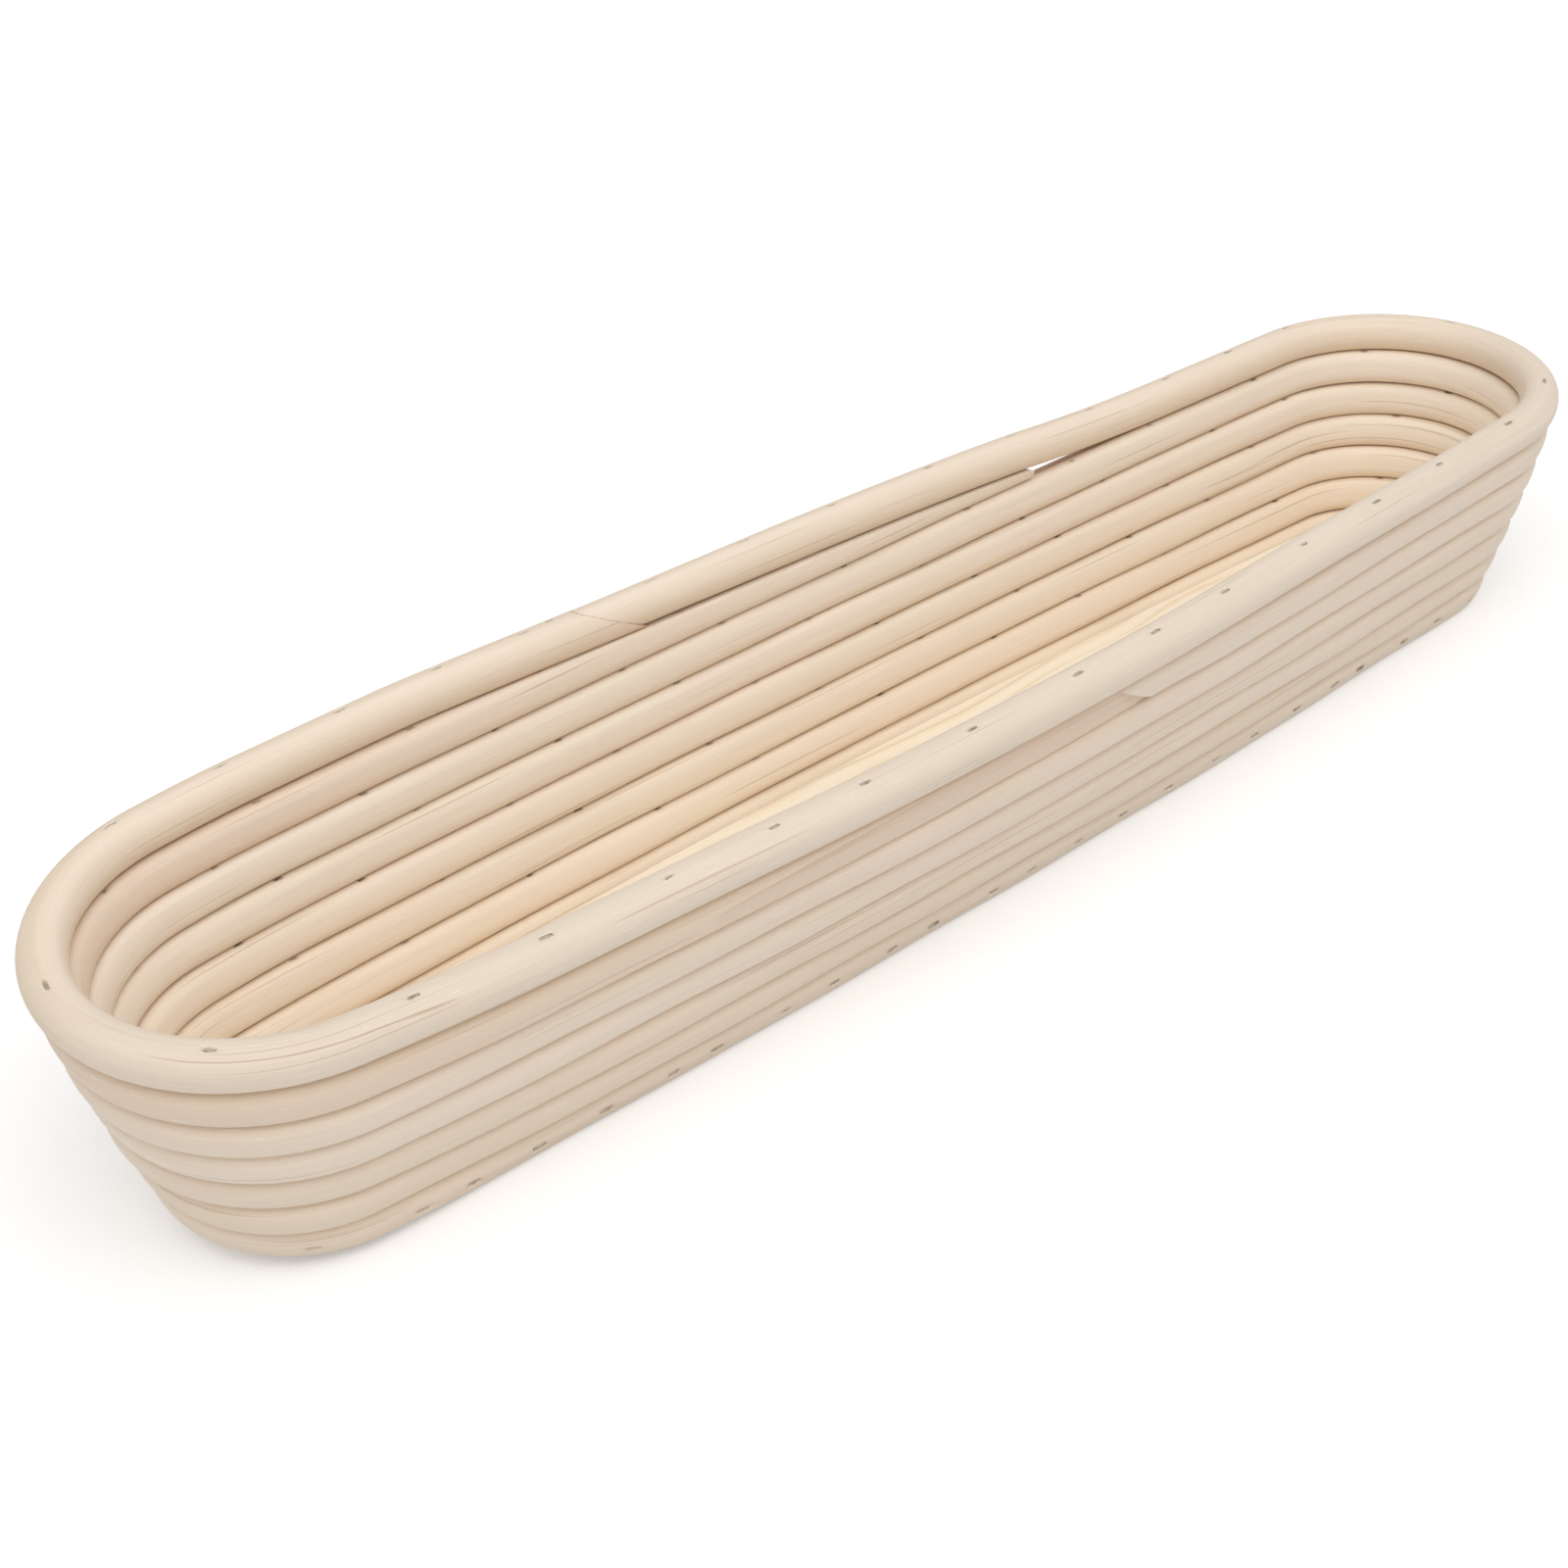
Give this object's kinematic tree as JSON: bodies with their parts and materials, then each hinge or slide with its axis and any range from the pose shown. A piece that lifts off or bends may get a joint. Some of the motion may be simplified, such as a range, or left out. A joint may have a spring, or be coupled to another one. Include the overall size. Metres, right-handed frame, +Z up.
{
  "type": "proofing basket",
  "caption": "Long, narrow proofing basket: round cane wound turn on turn round a flat wooden floor, leaning outward, spliced and stapled, under a cane rim with a slanting joint.",
  "frame": {"origin": "middle of the floor board's underside, on the ground", "axes": "+X along the basket, away from the end where the winding climbs; +Y across it, towards the side with the rim's joint; +Z up"},
  "size_m": [0.4499, 0.1028, 0.0746],
  "materials": {
    "floor_wood": "bare, planed, flat-sawn",
    "wall_cane": "bare cane, peeled, fine lengthwise fibres",
    "rim_cane": "bare cane, peeled, fine lengthwise fibres",
    "staple_wire": "dull flat wire"
  },
  "bodies": {
    "root": {"floor_board": "floor_wood", "wall_cane": "wall_cane", "closing_cane": "wall_cane", "rim_cane": "rim_cane", "base_staples": "staple_wire", "wall_staples": "staple_wire", "rim_staples": "staple_wire"}
  },
  "joints": []
}
